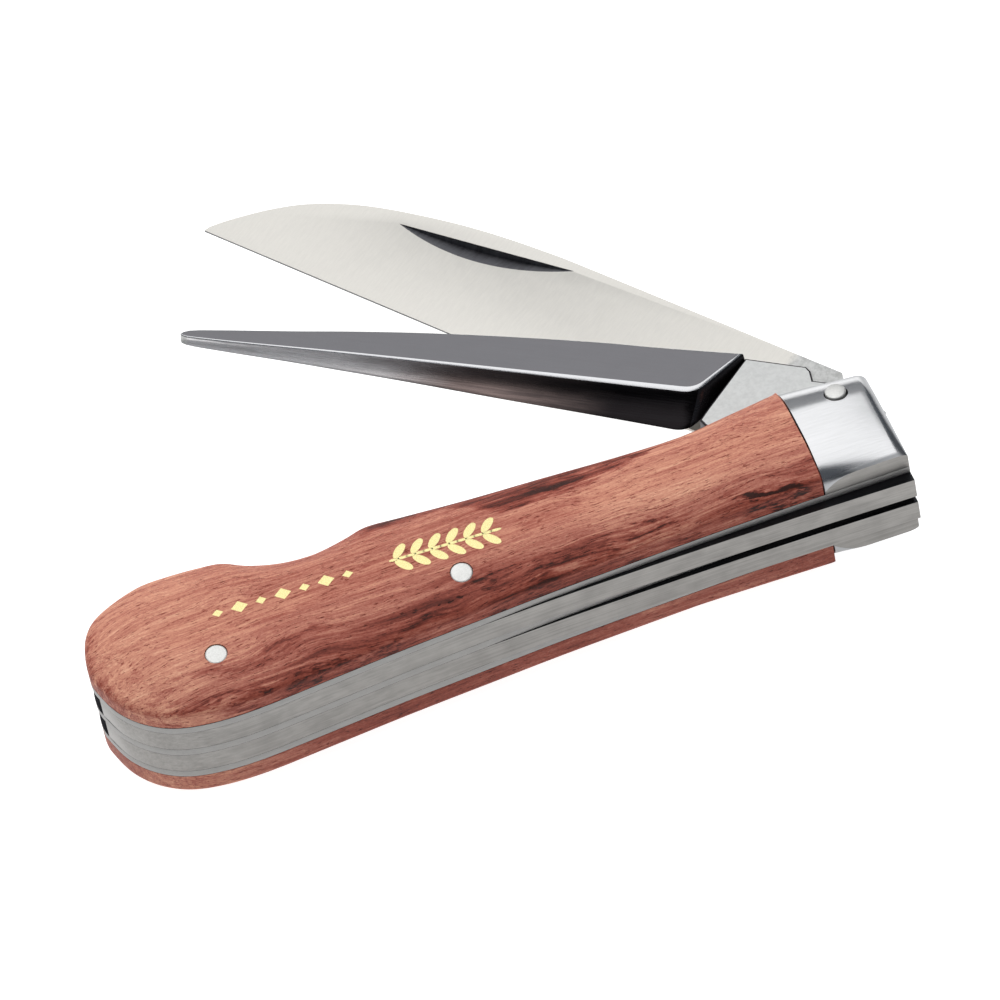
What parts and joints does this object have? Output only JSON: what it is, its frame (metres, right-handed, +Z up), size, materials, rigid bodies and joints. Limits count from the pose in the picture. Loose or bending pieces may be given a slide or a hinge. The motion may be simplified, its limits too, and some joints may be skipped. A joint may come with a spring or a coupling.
{
  "type": "folding pocket knife",
  "caption": "Folding pocket knife with a straight-edged blade and a tapered reamer on one pivot, steel liners and back springs, dark red wooden scales and polished bolsters.",
  "frame": {"origin": "on the flat along the crown of the lower scale, at the middle of the handle's length", "axes": "+X along the handle from the butt to the head, -Y towards the spine with the springs, +Z up through the handle's thickness"},
  "size_m": [0.1111, 0.0943, 0.019],
  "materials": {
    "wood": "oiled and buffed red-brown hardwood with dark streaks",
    "polished_bolster": "mirror-polished nickel silver with a ground spine face",
    "liner_steel": "ground steel",
    "spring_steel": "ground on the spine, dark from hardening on the sides",
    "pin_steel": "peened and filed flush",
    "blade_steel": "fine satin grind",
    "reamer_steel": "polished with softened bright edges"
  },
  "bodies": {
    "handle": {"upper_scale": "wood", "lower_scale": "wood", "upper_bolster": "polished_bolster", "lower_bolster": "polished_bolster", "upper_bolster_pins": "pin_steel", "lower_bolster_pins": "pin_steel", "upper_liner": "liner_steel", "centre_liner": "liner_steel", "lower_liner": "liner_steel", "reamer_backspring": "spring_steel", "blade_backspring": "spring_steel", "pivot_pin": "pin_steel", "middle_rivet": "pin_steel", "butt_rivet": "pin_steel"},
    "blade": {"blade": "blade_steel"},
    "reamer": {"reamer": "reamer_steel"}
  },
  "joints": [
    {"name": "blade_pivot", "type": "hinge", "parent": "handle", "child": "blade", "pos_m": [0.0499, 0.0041, 0.0074], "axis": [0, 0, -1], "range_deg": [-50.2, 129.8]},
    {"name": "reamer_pivot", "type": "hinge", "parent": "handle", "child": "reamer", "pos_m": [0.0499, 0.0041, 0.0116], "axis": [0, 0, -1], "range_deg": [-36.5, 143.5]}
  ]
}
